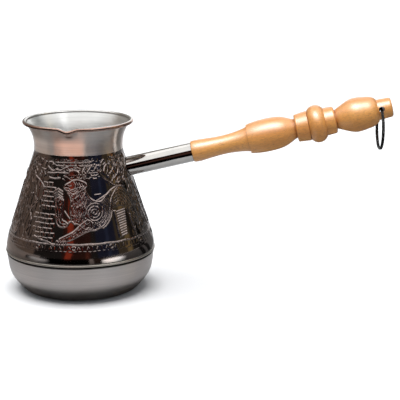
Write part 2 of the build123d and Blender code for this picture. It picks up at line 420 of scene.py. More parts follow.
BEAST_ARM = [
    (-9.0, 65.8), (-10.9, 63.6), (-11.0, 57.0), (-10.5, 51.4), (-8.8, 48.8), (-5.8, 48.6), (-3.6, 50.0),
    (-5.2, 51.6), (-7.0, 52.6), (-7.4, 56.0), (-6.8, 60.0), (-6.6, 64.0),
]
BEAST_THIGH = [
    (8.0, 52.6), (10.6, 51.4), (11.4, 48.8), (9.8, 46.6), (6.6, 45.6), (1.6, 43.0), (-3.4, 40.8),
    (-7.6, 40.6), (-9.0, 41.4), (-5.6, 43.2), (0.0, 46.2), (4.6, 50.4),
]


def draw_beast(relief):
    """A prancing beast of no particular kind: body, curled haunch, raised paw, arched tail, combed coat."""
    relief.plate(BEAST_TAIL, 0.16, rubbed=0.45, hair=24)
    relief.plate(BEAST_BODY, 0.2, outline=0.4, rubbed=0.5, hair=25)
    relief.plate(BEAST_CHEST, 0.22, rubbed=0.5, hair=21)
    relief.plate(BEAST_HEAD, 0.26, outline=0.4, rubbed=0.5)
    relief.plate(BEAST_ARM, 0.18, outline=0.36, rubbed=0.5, hair=22)
    relief.plate(BEAST_THIGH, 0.3, outline=0.42, rubbed=0.5, hair=23)
    relief.stroke([(-5.4, 70.9), (-3.8, 71.0), (-2.4, 70.2)], 0.3, 0.42)
    relief.stroke([(-4.0, 72.6), (-2.8, 72.0), (-1.6, 72.3)], 0.3, 0.42)
    for i in range(4):
        mane = [(-0.4 + 1.6 * i, 74.6 - 0.4 * i), (0.9 + 1.5 * i, 72.6 - 0.4 * i), (0.2 + 1.4 * i, 70.2)]
        relief.stroke(mane, 0.3, 0.42)
    for i in range(5):
        drop = 1.7 * i
        tip = (33.4 - 0.4 * i, 56.6 - 0.5 * drop)
        relief.stroke([(23.4, 66.8 - drop), (26.4, 68.2 - drop), (30.0, 64.4 - drop), tip], 0.34, 0.34)
    for i in range(4):
        collar = [(-3.2 + 0.5 * i, 70.2 - 1.5 * i), (-0.6, 69.0 - 1.5 * i), (2.6, 70.6 - 1.4 * i)]
        relief.stroke(collar, 0.32, 0.4)
    for i in range(9):
        top, foot = 69.4 - 0.75 * i, 53.0 - 0.35 * i
        lean = 1.4 - 0.45 * i
        coat = [
            (0.3 + 0.95 * i + lean * t + 0.28 * sin(13 * t + i), top + (foot - top) * t)
            for t in np.linspace(0, 1, 13)
        ]
        relief.stroke(coat, 0.36, 0.36)
    curl_x, curl_z = 12.2, 56.4
    curl = [
        (curl_x + 1.62 * t * cos(2 * pi * t + 1), curl_z + 1.78 * t * sin(2 * pi * t + 1))
        for t in np.linspace(0.15, 3.3, 44)
    ]
    relief.stroke(curl, 0.36, 0.46, smooth=False)
    for i in range(5):
        reach = 6.3 + 0.95 * i
        sweep = np.radians(np.linspace(62 - 4 * i, -84 + 6 * i, 15))
        haunch = [(curl_x + reach * cos(t), curl_z + 1.05 * reach * sin(t)) for t in sweep]
        relief.stroke(haunch, 0.36, 0.36)
    for i in range(5):
        reach = 0.95 * i
        back = [(13.4 + reach, 63.2 + 0.5 * i), (17.4 + reach, 65.2 + 0.6 * i), (21.0 + 0.5 * reach, 67.8)]
        relief.stroke(back, 0.32, 0.34)
    relief.stroke([(9.0, 50.6), (6.2, 49.2), (2.0, 46.2), (-3.0, 43.0), (-6.4, 41.6)], 0.3, 0.44)
    relief.stroke([(9.6, 48.2), (7.0, 47.2), (3.4, 45.2), (-1.0, 42.8)], 0.28, 0.4)
    relief.stroke([(-9.4, 63.4), (-9.4, 57.0), (-8.9, 52.2), (-7.6, 50.4), (-5.2, 50.2)], 0.3, 0.38)
    relief.stroke([(-5.6, 57.6), (-4.4, 55.8), (-2.6, 53.4)], 0.34, 0.4)
    relief.stroke([(-3.6, 50.2), (-2.6, 51.6), (-0.8, 51.8), (0.4, 50.4)], 0.38, 0.44)
    for i in range(4):
        z = 70.4 - 1.65 * i
        relief.stroke([(-12.0, z - 1.4), (-9.6, z), (-7.0, z - 1.6)], 0.38, 0.44, smooth=False)
    for i in range(4):
        x = -10.8 + 1.55 * i
        toe = [(x, 38.8 + 0.1 * i), (x + 0.3, 40.4), (x + 1.1, 40.4), (x + 1.4, 38.9)]
        relief.stroke(toe, 0.34, 0.4)


def draw_bricks(relief, left, right, low, high, row=2.9, brick=3.6):
    """Courses of bricks, each with a rubbed upper edge and right-hand end."""
    for i in range(int((high - low) / row)):
        z = low + row * i
        x = left + brick * (0.5 if i % 2 else 0)
        while x + brick * 0.75 < right:
            end = x + brick * rng.uniform(0.62, 0.86)
            tilt = rng.uniform(-0.2, 0.2)
            top = z + row * 0.6
            relief.plate([(x, z), (end, z + tilt), (end, top + tilt), (x, top)], 0.2, smooth=False)
            rubbed = 0.38 * rng.uniform(0.8, 1.1)
            relief.stroke([(x, top), (end, top + tilt)], RIDGE_WIDTH, rubbed, smooth=False)
            relief.stroke([(end, z + tilt), (end, top + tilt)], 0.36, 0.3, smooth=False)
            x += brick


def draw_key(relief):
    """Bars, a stepped line and triangles along the top of the belt."""
    relief.stroke([(-11.4, 85.2), (-5.0, 85.4), (2.4, 85.2), (9.8, 85.6)], 0.4, 0.4)
    relief.stroke([(-11.0, 83.4), (-6.4, 83.4)], 0.36, 0.38, smooth=False)
    relief.stroke([(-3.2, 83.5), (1.2, 83.5)], 0.36, 0.38, smooth=False)
    relief.stroke([(-11.2, 81.4), (-8.2, 80.9), (-5.4, 82.4), (-3.6, 83.0)], 0.36, 0.4)
    relief.stroke([(-16.4, 79.0), (-12.4, 79.2), (-8.0, 79.6), (-4.0, 79.3)], 0.42, 0.42)
    relief.stroke([(-15.2, 76.4), (-12.0, 76.0), (-8.8, 76.4)], 0.46, 0.42)
    relief.stroke([(-16.0, 82.6), (-14.2, 81.0), (-12.8, 80.4)], 0.5, 0.4)
    relief.stroke([(-15.6, 85.0), (-13.4, 85.4), (-12.6, 84.0)], 0.46, 0.4)
    relief.plate([(-3.2, 78.2), (-2.6, 80.6), (0.4, 81.2), (2.6, 79.8), (2.2, 78.2)], 0.34, outline=0.4)
    relief.plate([(4.0, 83.4), (6.6, 83.4), (5.0, 80.6), (4.8, 77.8)], 0.1, outline=0.4, smooth=False)
    relief.plate([(7.0, 83.0), (10.4, 83.6), (7.4, 79.6)], 0.1, outline=0.4, smooth=False)


def draw_vine(relief):
    """A stem with a bud and leaves, from the plain field to the right-hand foliage."""
    stem = [(13.4, 81.6), (14.6, 79.0), (17.0, 76.2), (20.8, 72.6), (24.2, 70.4), (28.6, 69.0)]
    relief.stroke(stem, 0.5, 0.4)
    relief.plate([(12.2, 81.4), (13.2, 83.2), (14.8, 82.8), (15.2, 81.0), (13.8, 80.2)], 0.34, outline=0.42)
    relief.plate([(17.6, 81.8), (18.6, 83.2), (19.4, 80.6), (18.6, 77.8), (17.4, 79.4)], 0.3, outline=0.38)
    relief.stroke([(15.6, 84.6), (16.8, 86.2), (18.0, 84.8), (17.0, 83.4)], 0.4, 0.38)
    relief.stroke([(20.6, 77.8), (22.4, 80.4), (21.6, 83.2), (19.8, 84.8)], 0.36, 0.36)
    relief.stroke([(22.8, 74.4), (25.0, 77.0), (25.2, 80.8), (23.6, 84.2)], 0.36, 0.36)
    relief.stroke([(25.6, 71.6), (28.2, 74.2), (28.4, 78.0)], 0.36, 0.36)
    for x, z in ((10.2, 77.6), (11.4, 76.0)):
        relief.stroke([(x, z), (x + 1.6, z)], 0.34, 0.36, smooth=False)
    relief.stroke([(12.2, 66.6), (15.6, 66.8)], 0.3, 0.3, smooth=False)


def draw_comb(relief):
    """A post with a row of fine teeth that shorten toward the foot, and a slanting rod."""
    relief.plate([(22.9, 56.4), (24.4, 56.2), (28.2, 40.8), (26.7, 40.6)], 0.3, smooth=False, rubbed=0.9)
    teeth = 11
    for i in range(teeth):
        down = i / (teeth - 1)
        x, z = 24.8 + 3.4 * down, 55.4 - 14.0 * down
        relief.stroke([(x, z), (x + 4.6 - 1.6 * down, z + 0.7)], 0.4, 0.4, smooth=False)
    relief.stroke([(32.4, 52.4), (34.0, 46.6), (36.4, 40.0)], 0.4, 0.4)


def draw_border(relief):
    """Two lines round the foot of the belt with bars, rings and chevrons between them."""
    upper, lower = 38.5, 34.5
    motifs = 96
    turn = np.radians(relief.azimuth)
    for z, thickness, least, rubbed in ((upper, 0.34, 0.85, 1.0), (lower, 0.28, 0.7, 0.35)):
        beat = least + (1 - least) * np.sin(turn * motifs + z)
        away = np.abs(relief.z - z - 0.12 * np.sin(turn * 23 + z))
        shape = np.exp(-((away / thickness) ** 2)) * beat
        relief.raise_to(EVERYWHERE, FULL_RUB * rubbed * shape, rubbed * shape)
    for i in range(motifs):
        relief.face(FRONT + 360 / motifs * i)
        middle = (upper + lower) / 2
        if i % 8 == 0:
            ring = [(1.1 * cos(t), middle + 1.1 * sin(t)) for t in np.linspace(0, 2 * pi, 15)]
            relief.stroke(ring, 0.34, 0.3, smooth=False)
        elif i % 2:
            chevron = [(-0.7, middle - 0.8), (0, middle + 0.7), (0.8, middle - 0.6)]
            relief.stroke(chevron, 0.3, 0.16, smooth=False)
        else:
            relief.stroke([(-0.4, middle - 0.8), (-0.3, middle + 0.9)], 0.3, 0.16, smooth=False)


def draw_fronds(relief, azimuth, seed):
    """Three tall leaves with veins, and winding foliage on either side of them."""
    relief.face(azimuth)
    for x, lean in ((-9.0, -2.4), (-2.0, 0.6), (6.0, 2.6)):
        tip = (x + lean * 1.4, 70.0)
        left = [(x - 2.6, 42.0), (x - 4.2 + lean * 0.4, 52.0), (x - 2.6 + lean, 62.0)]
        right = [(x + 2.4 + lean, 62.0), (x + 3.6 + lean * 0.4, 52.0), (x + 2.4, 42.0)]
        relief.plate([*left, tip, *right], 0.16, outline=0.38)
        relief.stroke([(x, 42.5), (x + lean * 0.5, 55.0), (x + lean * 1.3, 68.0)], 0.32, 0.4)
        for i in range(7):
            z = 45.0 + 3.1 * i
            middle = x + lean * (z - 42) / 22
            reach = 2.9 - abs(i - 2.5) * 0.35
            vein = [(middle - reach, z + 2.0), (middle, z), (middle + reach, z + 2.0)]
            relief.stroke(vein, 0.26, 0.32, smooth=False)
    relief.stroke([(-14.0, 73.0), (-8.0, 75.6), (-1.0, 74.4), (6.0, 76.4), (12.0, 73.6)], 0.4, 0.4)
    beside = relief.window(-23, -12, 39.5, 88.5) + relief.window(12, 23, 39.5, 88.5)
    relief.crinkle(beside, seed, 4.6, 1.7)


def draw_belt(relief):
    """The whole frieze: a beast scene in front and behind, leaves between them, the border under them."""
    relief.face(FRONT)
    draw_beast(relief)
    draw_key(relief)
    draw_vine(relief)
    draw_comb(relief)
    draw_bricks(relief, -20.2, -11.2, 58.3, 74.6, row=2.7, brick=3.2)
    draw_bricks(relief, -25.6, -11.2, 40.2, 58.0, row=2.7, brick=3.2)
    relief.stroke([(-24.6, 42.2), (-20.4, 40.6), (-16.0, 39.8), (-12.4, 37.8)], 0.44, 0.42)
    leaves = relief.window(18.6, 60, 70.5, 88.5) + relief.window(33.5, 60, 39.5, 71.5)
    relief.crinkle(leaves, 3, 4.2, 1.7, 0.32, rubbed=0.6)
    relief.crinkle(relief.window(-60, -15.5, 75.5, 88.5), 5, 2.6, 2.2, 0.32)
    left_side = relief.window(-60, -18.6, 57, 77) + relief.window(-60, -22.8, 39.5, 59)
    relief.crinkle(left_side, 6, 5.2, 1.6, 0.32)
    relief.crinkle(relief.window(-17, 17, 74.5, 88.5), 13, 1.2, 2.4, 0.14, rubbed=0.5)
    relief.stroke([(-24.0, 76.0), (-20.6, 73.4), (-18.6, 70.0), (-20.4, 64.0), (-26.0, 58.0)], 0.42, 0.42)
    relief.stroke([(-25.6, 66.0), (-27.6, 58.0), (-27.0, 50.0), (-30.4, 43.0)], 0.42, 0.42)
    relief.stroke([(-28.4, 70.0), (-31.2, 60.0), (-33.6, 50.0), (-36.0, 43.0)], 0.4, 0.4)
    draw_fronds(relief, FRONT - 100, 15)
    draw_fronds(relief, FRONT + 100, 16)
    relief.face(FRONT + 180, mirrored=True)
    draw_beast(relief)
    draw_key(relief)
    draw_vine(relief)
    draw_bricks(relief, -21.6, -12.4, 40.2, 74.6)
    relief.crinkle(relief.window(22, 60, 40, 88), 7, 4.2, 1.7, 0.32)
    draw_border(relief)
    relief.wear(14)


# ---- materials ----


class Finish:
    """A node material with a Principled shader, and short ways to add nodes."""

    def __init__(self, name, **values):
        self.material = bpy.data.materials.new(name)
        self.material.use_nodes = True
        self.tree = self.material.node_tree
        self.shader = self.tree.nodes["Principled BSDF"]
        for key, value in values.items():
            self.shader.inputs[key.replace("_", " ")].default_value = value

    def node(self, kind, inputs=None, **settings):
        made = self.tree.nodes.new("ShaderNode" + kind)
        for key, value in settings.items():
            setattr(made, key, value)
        for key, value in (inputs or {}).items():
            if isinstance(value, bpy.types.NodeSocket):
                self.tree.links.new(value, made.inputs[key])
            else:
                made.inputs[key].default_value = value
        return made

    def to_shader(self, key, socket):
        self.tree.links.new(socket, self.shader.inputs[key])

    def place(self, scale, rotation=(0, 0, 0)):
        """Object coordinates in metres, turned and then scaled."""
        where = self.node("TexCoord").outputs["Object"]
        turned = self.node("Mapping", {"Vector": where, "Rotation": rotation}).outputs[0]
        return self.node("Mapping", {"Vector": turned, "Scale": scale}).outputs[0]

    def height_above(self, z):
        """Height over this level, in metres."""
        where = self.node("TexCoord").outputs["Object"]
        level = self.node("SeparateXYZ", {"Vector": where}).outputs["Z"]
        return self.math("SUBTRACT", level, z)

    def noise(self, scale, detail=3.0, roughness=0.6, rotation=(0, 0, 0)):
        """Noise with about this many features to the metre along each axis."""
        where = self.place(scale, rotation)
        inputs = {"Vector": where, "Scale": 1.0, "Detail": detail, "Roughness": roughness}
        return self.node("TexNoise", inputs).outputs["Fac"]

    def remap(self, value, low, high, to_low=0.0, to_high=1.0):
        inputs = {"Value": value, "From Min": low, "From Max": high, "To Min": to_low, "To Max": to_high}
        return self.node("MapRange", inputs).outputs["Result"]

    def math(self, operation, a, b):
        return self.node("Math", {0: a, 1: b}, operation=operation).outputs[0]

    def blend(self, factor, a, b, kind="MIX"):
        made = self.node("Mix", {"Factor": factor}, data_type="RGBA", blend_type=kind)
        for socket, value in ((made.inputs[6], a), (made.inputs[7], b)):
            if isinstance(value, bpy.types.NodeSocket):
                self.tree.links.new(value, socket)
            else:
                socket.default_value = (*value, 1)
        return made.outputs[2]

    def bump(self, height, strength, distance):
        made = self.node("Bump", {"Height": height, "Strength": strength, "Distance": distance})
        self.to_shader("Normal", made.outputs[0])

    def spun(self):
        """Brush lines that run round the vessel."""
        self.to_shader("Tangent", self.node("Tangent", direction_type="RADIAL", axis="Z").outputs[0])


def brushed_metal(name, colour, warm, roughness, line_depth=0.25, groove_shade_z=None, with_painted_shade=False):
    """Metal brushed on the lathe: fine lines round the axis, cloudy changes of tint, and painted shade.

    The painted shade lies at a height given in metres, the cup's side of the groove, or where a mesh
    attribute says, under the pouring lip and toward the top of the neck.
    """
    finish = Finish(name, Metallic=1.0, Anisotropic=0.9, Anisotropic_Rotation=0.25)
    lines = finish.noise((50, 50, 7000), 2.0)
    broad = finish.noise((20, 20, 1000))
    clouds = finish.noise((45, 45, 60))
    tint = finish.blend(finish.remap(clouds, 0.35, 0.68), colour, warm)
    fine_shade = finish.remap(lines, 0.3, 0.7, -0.5, 0.5)
    shade = finish.math("ADD", fine_shade, finish.remap(broad, 0.3, 0.7, -0.5, 0.5))
    darker = tuple(c * 0.7 for c in colour)
    tint = finish.blend(finish.remap(shade, -0.6, 0.7, 0.55, 0.0), tint, darker)
    if groove_shade_z:
        # Painted shade of the groove: the metal darkens up to this height
        height = finish.height_above(groove_shade_z)
        tint = finish.blend(finish.remap(height, -0.0006, -0.0002, 0, 0.9), tint, (0.03, 0.025, 0.02))
    if with_painted_shade:
        # Painted shade where the mesh's attribute says: under the pouring lip and toward the neck's top
        smudge_and_shade = finish.node("Attribute", attribute_name="smudge_and_shade").outputs["Fac"]
        smudge_and_shade = finish.math("MULTIPLY", smudge_and_shade, finish.remap(clouds, 0.3, 0.65, 0.6, 1.15))
        tint = finish.blend(smudge_and_shade, tint, (0.08, 0.07, 0.06))
    finish.to_shader("Base Color", tint)
    finish.to_shader("Roughness", finish.remap(lines, 0.3, 0.7, roughness - 0.05, roughness + 0.05))
    finish.bump(lines, line_depth, 0.00003)
    finish.spun()
    return finish.material


def patinated_copper():
    """Dark glossy patina in the ground, rubbed through to copper along the ridges."""
    finish = Finish("patinated_copper", Metallic=1.0)
    ridge = finish.node("Attribute", attribute_name="ridge").outputs["Fac"]
    clouds = finish.noise((180, 180, 180), 4.0)
    fine = finish.noise((1400, 1400, 1400))
    worn = finish.remap(finish.math("ADD", ridge, finish.remap(fine, 0.3, 0.7, -0.2, 0.2)), 0.25, 1.0)
    ground = finish.blend(finish.remap(clouds, 0.35, 0.65), (0.18, 0.155, 0.15), (0.25, 0.2, 0.18))
    metal = finish.blend(finish.remap(clouds, 0.3, 0.7), (0.43, 0.34, 0.32), (0.54, 0.44, 0.41))
    finish.to_shader("Base Color", finish.blend(worn, ground, metal))
    finish.to_shader("Roughness", finish.remap(worn, 0, 1, 0.1, 0.32))
    finish.bump(fine, 0.1, 0.00005)
    return finish.material


def polished_patina():
    """The plain band: the same patina, polished, with painted shade: darker toward the bead, and dark in
    the groove under it.
    """
    finish = Finish("polished_patina", Metallic=1.0)
    lines = finish.noise((40, 40, 4000), 2.0)
    clouds = finish.noise((120, 120, 260), 4.0)
    bead = finish.node("Attribute", attribute_name="bead").outputs["Fac"]
    groove_shade = finish.node("Attribute", attribute_name="groove_shade").outputs["Fac"]
    tint = finish.blend(finish.remap(clouds, 0.35, 0.7), (0.19, 0.17, 0.16), (0.26, 0.21, 0.19))
    # Painted shade: the band darkens toward the bead
    low = finish.remap(finish.height_above(BEAD_TOP * MM), 0.001, 0.0035, 0.5, 0)
    tint = finish.blend(low, tint, (0.05, 0.045, 0.04))
    tint = finish.blend(bead, tint, (0.38, 0.35, 0.31))
    # Painted shade in the groove under the bead
    tint = finish.blend(groove_shade, tint, (0.02, 0.017, 0.015))
    finish.to_shader("Base Color", tint)
    finish.to_shader("Roughness", finish.remap(bead, 0, 1, 0.1, 0.3))
    finish.bump(lines, 0.1, 0.00004)
    return finish.material


def rim_copper():
    """Bare copper outside, and the lining's tin wrapped over the inner half."""
    finish = Finish("rim_copper", Metallic=1.0)
    clouds = finish.noise((300, 300, 300), 4.0)
    tin = finish.node("Attribute", attribute_name="tin").outputs["Fac"]
    tint = finish.blend(finish.remap(clouds, 0.35, 0.7), (0.54, 0.35, 0.28), (0.38, 0.26, 0.22))
    edge = finish.remap(finish.math("ADD", tin, finish.remap(clouds, 0.3, 0.7, -0.15, 0.15)), 0.4, 0.6)
    finish.to_shader("Base Color", finish.blend(edge, tint, (0.7, 0.69, 0.67)))
    finish.to_shader("Roughness", finish.remap(clouds, 0.3, 0.7, 0.15, 0.28))
    return finish.material


def chrome():
    """Bright plating with hairline scratches along the tube."""
    finish = Finish("ferrule_chrome", Metallic=1.0)
    hair = finish.noise((60, 5000, 5000), 2.0, rotation=ALONG_HANDLE)
    smudge_and_shade = finish.noise((160, 160, 160))
    tint = finish.blend(finish.remap(smudge_and_shade, 0.35, 0.7), (0.66, 0.64, 0.61), (0.58, 0.57, 0.55))
    finish.to_shader("Base Color", tint)
    finish.to_shader("Roughness", finish.remap(smudge_and_shade, 0.3, 0.7, 0.035, 0.09))
    finish.bump(hair, 0.06, 0.00002)
    return finish.material


def turned_steel(name, colour, pitch):
    """Machined steel with a wave of this pitch, in metres, along the handle's axis."""
    finish = Finish(name, Metallic=1.0)
    where = finish.place((1, 1, 1), ALONG_HANDLE)
    inputs = {"Vector": where, "Scale": pi / 10 / pitch, "Distortion": 0.0}
    wave = finish.node("TexWave", inputs, bands_direction="X")
    stain_and_shade = finish.noise((400, 400, 400))
    darker = tuple(c * 0.6 for c in colour)
    finish.to_shader("Base Color", finish.blend(finish.remap(stain_and_shade, 0.3, 0.75), colour, darker))
    finish.to_shader("Roughness", finish.remap(stain_and_shade, 0.3, 0.7, 0.25, 0.42))
    finish.bump(wave.outputs["Fac"], 0.6, 0.0004)
    return finish.material


def knurled_brass():
    """Stained brass with a knurl."""
    finish = Finish("insert_brass", Metallic=1.0)
    where = finish.place((1, 1, 1), ALONG_HANDLE)
    knurl = finish.node("TexVoronoi", {"Vector": where, "Scale": 900.0}, feature="F1")
    stain_and_shade = finish.noise((300, 300, 300))
    tint = finish.blend(finish.remap(stain_and_shade, 0.3, 0.75), (0.82, 0.62, 0.28), (0.52, 0.38, 0.17))
    finish.to_shader("Base Color", tint)
    finish.to_shader("Roughness", finish.remap(stain_and_shade, 0.3, 0.7, 0.22, 0.4))
    finish.bump(knurl.outputs["Distance"], 0.4, 0.0002)
    return finish.material


def ring_nickel():
    """Dark nickel plating, dulled where the wire rubs."""
    finish = Finish("ring_steel", Metallic=1.0)
    rub = finish.noise((500, 500, 500), 4.0)
    tint = finish.blend(finish.remap(rub, 0.35, 0.7), (0.03, 0.03, 0.03), (0.07, 0.068, 0.066))
    finish.to_shader("Base Color", tint)
    finish.to_shader("Roughness", finish.remap(rub, 0.3, 0.7, 0.16, 0.34))
    finish.bump(rub, 0.1, 0.00005)
    return finish.material


def lacquered_beech():
    """Honey beech: growth bands, short dark flecks along the grain, and a coat of clear lacquer."""
    finish = Finish("lacquered_beech", Coat_Weight=1.0, Coat_Roughness=0.3, Coat_IOR=1.55)
    bands = finish.noise((14, 130, 130), 2.0, 0.5, rotation=ALONG_HANDLE)
    fibre = finish.noise((90, 1500, 1500), rotation=ALONG_HANDLE)
    flecks = finish.noise((420, 3600, 3600), 1.0, 0.5, rotation=ALONG_HANDLE)
    tint = finish.blend(finish.remap(bands, 0.3, 0.7), (0.90, 0.42, 0.095), (0.74, 0.29, 0.055))
    tint = finish.blend(finish.remap(fibre, 0.45, 0.75, 0, 0.45), tint, (0.50, 0.21, 0.06))
    tint = finish.blend(finish.remap(flecks, 0.60, 0.70, 0, 0.65), tint, (0.34, 0.13, 0.04))
    mottle = finish.noise((500, 1000, 1000), 3.0, 0.7, rotation=ALONG_HANDLE)
    tint = finish.blend(finish.remap(mottle, 0.42, 0.66, 0, 0.3), tint, (0.50, 0.17, 0.035))
    # Painted shade: ambient occlusion darkens the corners and steps of the turning
    corners = finish.node("AmbientOcclusion", {"Distance": 0.0035}, samples=8).outputs["AO"]
    tint = finish.blend(finish.remap(corners, 0.5, 0.95, 0.7, 0.0), tint, (0.36, 0.11, 0.02))
    finish.to_shader("Base Color", tint)
    finish.to_shader("Roughness", finish.remap(fibre, 0.3, 0.7, 0.34, 0.48))
    finish.bump(fibre, 0.06, 0.00008)
    return finish.material


# ---- vessel ----

azimuths = np.arange(AROUND) * 360 / AROUND - 180
belt_z = np.linspace(BELT_LOW, NECK_LOW, BELT_ROWS)
relief = Relief(azimuths, belt_z, wall_r(belt_z))
draw_belt(relief)
edge_fade = smoothstep((relief.z - BELT_LOW) / BELT_FADE) * smoothstep((NECK_LOW - relief.z) / BELT_FADE)
from_ferrule = np.hypot(relief.r * np.radians(wrapped(relief.azimuth)), relief.z - FERRULE_FOOT_Z)
edge_fade = edge_fade * smoothstep((from_ferrule - FERRULE_FOOT_R) / FERRULE_FOOT_FADE)
base = lathed(wall_r(belt_z), belt_z, azimuths)
belt = base + grid_normals(base, True) * (relief.height * edge_fade)[..., None]
belt_normals = grid_normals(belt, True)
copper = patinated_copper()
share = AROUND // BELT_PIECES
relief_pieces = []
for i in range(BELT_PIECES):
    columns = np.arange(i * share, (i + 1) * share + 1) % AROUND
    name = f"belt_{i + 1}"
    piece = grid_piece(
        name, belt[:, columns], belt_normals[:, columns], closed=False,
        values={"ridge": (relief.ridge * edge_fade)[:, columns]},
    )
    finish_piece(piece, "vessel", "patinated_copper", copper, "vessel_body")
    relief_pieces.append(piece)

around = np.arange(PLAIN_AROUND) * 360 / PLAIN_AROUND - 180
neck_z = np.linspace(NECK_LOW, RIM_Z - 0.4, NECK_ROWS)
neck = press_lip(lathed(wall_r(neck_z), neck_z, around))
brushed_neck = brushed_metal("brushed_neck", (0.90, 0.86, 0.83), (0.94, 0.80, 0.72), 0.36, with_painted_shade=True)
# Painted shade: a dark patch under the pouring lip, and darkening toward the top, most at the left
beside_lip = np.radians(wrapped(around - LIP_AZIMUTH))[None, :] * wall_r(LIP_SHADE_Z) / LIP_SHADE_HALF_WIDTH
below_lip = (neck_z - LIP_SHADE_Z)[:, None] / LIP_SHADE_HALF_HEIGHT
smudge_and_shade = np.exp(-(beside_lip**2) - below_lip**2)
to_left = smoothstep((FRONT + TOP_SHADE_SIDE - around) / (2 * TOP_SHADE_SIDE))
upward = TOP_SHADE_STRENGTH * smoothstep((neck_z - TOP_SHADE_LOW) / TOP_SHADE_FADE)
stain_and_shade = upward[:, None] * (TOP_SHADE_AT_RIGHT + (1 - TOP_SHADE_AT_RIGHT) * to_left)[None, :]
neck_piece = grid_piece("neck", neck, values={"smudge_and_shade": np.maximum(smudge_and_shade, stain_and_shade)})
finish_piece(neck_piece, "vessel", "brushed_copper", brushed_neck, "vessel_body")

rim_angle = np.append(np.linspace(0, 2 * pi, RIM_SIDES, endpoint=False), 0)
rim = lathed(RIM_R + RIM_BEAD_R * np.cos(rim_angle), RIM_Z + RIM_BEAD_R * np.sin(rim_angle), around)
amount = lip_weight(around)[None, :, None]
outward = lathed([1.0], [0.0], around)
rim = rim + amount * (LIP_REACH * outward - np.array([0, 0, LIP_DROP]))
# The tin's middle is turned a little from the inside toward the top
tinned = np.repeat(smoothstep(0.5 - 0.9 * np.cos(rim_angle + 0.5))[:, None], len(around), 1)
rim_piece = grid_piece("rolled_rim", rim, values={"tin": tinned})
finish_piece(rim_piece, "vessel", "brushed_copper", rim_copper(), "vessel_body")

lining_z = np.append(np.linspace(RIM_Z - 0.3, LINING_LOW, LINING_ROWS), skirt_z)
lining = press_lip(lathed(np.append(lining_r(lining_z[:-1]), skirt_inner_r), lining_z, around))
tin = brushed_metal("tin_lining", (0.88, 0.88, 0.86), (0.92, 0.91, 0.89), 0.36, 0.2)
lining_piece = grid_piece("lining", lining)
finish_piece(lining_piece, "vessel", "brushed_copper", tin, "vessel_body")

bead_arc = np.radians(np.linspace(90, -90, BEAD_ROWS))
bead_half = (BEAD_TOP - BEAD_LOW) / 2
band_z = np.linspace(BELT_LOW, BEAD_TOP + 0.25, BAND_ROWS)
bead_profile_r = bead_r + bead_half * (np.cos(bead_arc) - 1)
bead_profile_z = BEAD_LOW + bead_half * (1 + np.sin(bead_arc))
profile_r = np.concatenate([wall_r(band_z), bead_profile_r, [groove_r, groove_r]])
profile_z = np.concatenate([band_z, bead_profile_z, [BEAD_LOW, skirt_z]])
band = lathed(profile_r, profile_z, around)[::-1]
on_bead = (profile_z < BEAD_TOP) & (profile_z > BEAD_LOW + GROOVE_SHADE_REACH)
# The groove's rows get painted shade
in_groove = profile_z <= BEAD_LOW + GROOVE_SHADE_REACH
marks = {
    key: np.repeat(rows.astype(float)[::-1, None], len(around), 1)
    for key, rows in (("bead", on_bead), ("groove_shade", in_groove))
}
band_piece = grid_piece("plain_band", band, values=marks)
finish_piece(band_piece, "vessel", "patinated_copper", polished_patina(), "vessel_body")

# ---- carried-over CAD nodes ----


def dress(node, mat):
    target = frame["nodes"][node]
    target.data.materials.clear()
    target.data.materials.append(mat)


THREAD_PITCH = 0.001
NO_THREAD = 0.5  # a wave too long to be seen

cup_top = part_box("base_cup")[1][2]
# The top of the cup gets the painted shade of the groove
brushed_cup = brushed_metal("brushed_cup", (0.69, 0.65, 0.63), (0.74, 0.68, 0.65), 0.34, groove_shade_z=cup_top)
dress("base_cup", brushed_cup)
dress("handle_boss", turned_steel("boss_steel", (0.56, 0.55, 0.53), NO_THREAD))
dress("handle_stud", turned_steel("stud_steel", (0.62, 0.61, 0.58), THREAD_PITCH))
dress("ferrule_tube", chrome())
dress("threaded_insert", knurled_brass())
dress("wood_handle", lacquered_beech())
dress("split_ring", ring_nickel())

# ---- studio ----

CENTRE = Vector((0.02, 0, 0.06))  # the cards' elevations and azimuths are counted from here
HANDLE_MIDDLE = Vector((0.12, 0, 0.09))
LEVEL_STEP = 0.0002  # between the levels of floor patches


def glow_material(name, colour, strength, soft=False):
    """Emission, even or fading out like an ellipse toward the mesh's edges."""
    glow = bpy.data.materials.new(name)
    glow.use_nodes = True
    tree = glow.node_tree
    tree.nodes.clear()
    lamp = tree.nodes.new("ShaderNodeEmission")
    lamp.inputs["Color"].default_value = (*colour, 1)
    lamp.inputs["Strength"].default_value = strength
    if soft:
        centred = tree.nodes.new("ShaderNodeMapping")
        centred.inputs["Location"].default_value = (-1, -1, 0)
        centred.inputs["Scale"].default_value = (2, 2, 0)
        tree.links.new(tree.nodes.new("ShaderNodeTexCoord").outputs["Generated"], centred.inputs["Vector"])
        fade = tree.nodes.new("ShaderNodeTexGradient")
        fade.gradient_type = "QUADRATIC_SPHERE"
        tree.links.new(centred.outputs[0], fade.inputs["Vector"])
        level = tree.nodes.new("ShaderNodeMapRange")
        level.inputs["From Max"].default_value = 0.25
        level.inputs["To Max"].default_value = strength
        tree.links.new(fade.outputs["Fac"], level.inputs["Value"])
        tree.links.new(level.outputs[0], lamp.inputs["Strength"])
    tree.links.new(lamp.outputs[0], tree.nodes.new("ShaderNodeOutputMaterial").inputs["Surface"])
    return glow


def studio_mesh(name, points, mat, faces=((0, 1, 2, 3),)):
    mesh = bpy.data.meshes.new(name)
    mesh.from_pydata(points, [], faces)
    mesh.materials.append(mat)
    return in_scene(name, mesh)


def studio_light(name, kind, energy):
    made = in_scene(name, bpy.data.lights.new(name, kind))
    made.data.energy = energy
    return made


def only_reflected(made):
    made.visible_camera = False
    made.visible_shadow = False
    made.visible_diffuse = False


